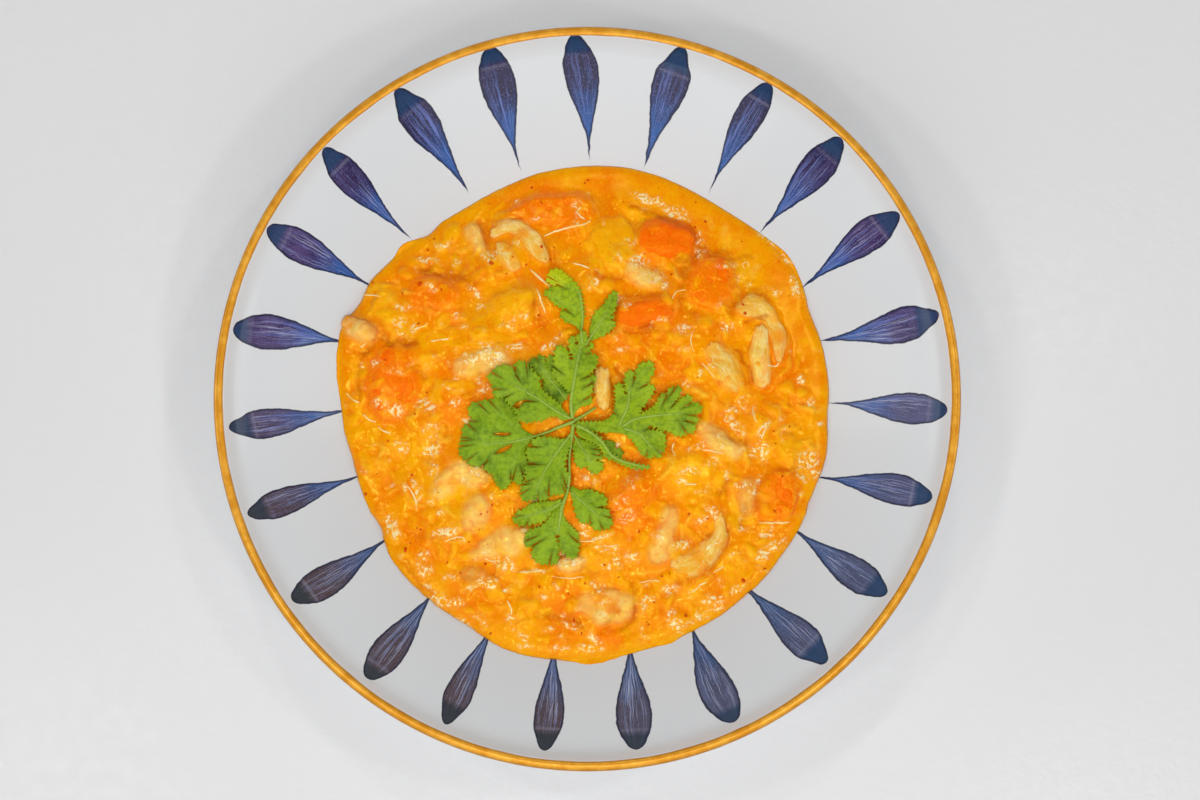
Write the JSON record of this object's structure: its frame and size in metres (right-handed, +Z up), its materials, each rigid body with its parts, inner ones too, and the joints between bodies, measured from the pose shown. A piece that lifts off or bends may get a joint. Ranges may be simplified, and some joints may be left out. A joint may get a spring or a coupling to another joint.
{
  "type": "chicken curry in a deep plate",
  "caption": "Chicken curry with carrot and potato pieces in thick yellow-orange sauce, topped with a coriander sprig, in a gold-rimmed deep plate with blue brush marks.",
  "frame": {"origin": "centre of the foot ring, on the surface the plate stands on", "axes": "+Z up, -Y towards the diner, +X to the diner's right"},
  "size_m": [0.21, 0.21, 0.048],
  "materials": {
    "plate": "glossy white glaze with blue brush marks and a gold rim line",
    "sauce": "glossy thick yellow-orange sauce",
    "carrot": "wet cooked carrot",
    "chicken": "wet cooked chicken, fibrous",
    "potato": "wet cooked potato stained by the sauce",
    "onion": "wet, glassy cooked onion",
    "coriander": "fresh green leaf, satin"
  },
  "bodies": {
    "root": {"plate": "plate", "curry_sauce": "sauce", "coriander_sprig": "coriander", "chicken_1": "chicken", "chicken_2": "chicken", "chicken_3": "chicken", "chicken_4": "chicken", "chicken_5": "chicken", "chicken_6": "chicken", "chicken_7": "chicken", "chicken_8": "chicken", "chicken_9": "chicken", "chicken_10": "chicken", "chicken_11": "chicken", "chicken_12": "chicken", "chicken_13": "chicken", "chicken_14": "chicken", "chicken_15": "chicken", "chicken_16": "chicken", "chicken_17": "chicken", "chicken_18": "chicken", "carrot_1": "carrot", "carrot_2": "carrot", "carrot_3": "carrot", "carrot_4": "carrot", "carrot_5": "carrot", "carrot_6": "carrot", "carrot_7": "carrot", "carrot_8": "carrot", "carrot_9": "carrot", "potato_1": "potato", "potato_2": "potato", "potato_3": "potato", "potato_4": "potato", "potato_5": "potato", "onion_1": "onion", "onion_2": "onion"}
  },
  "joints": []
}
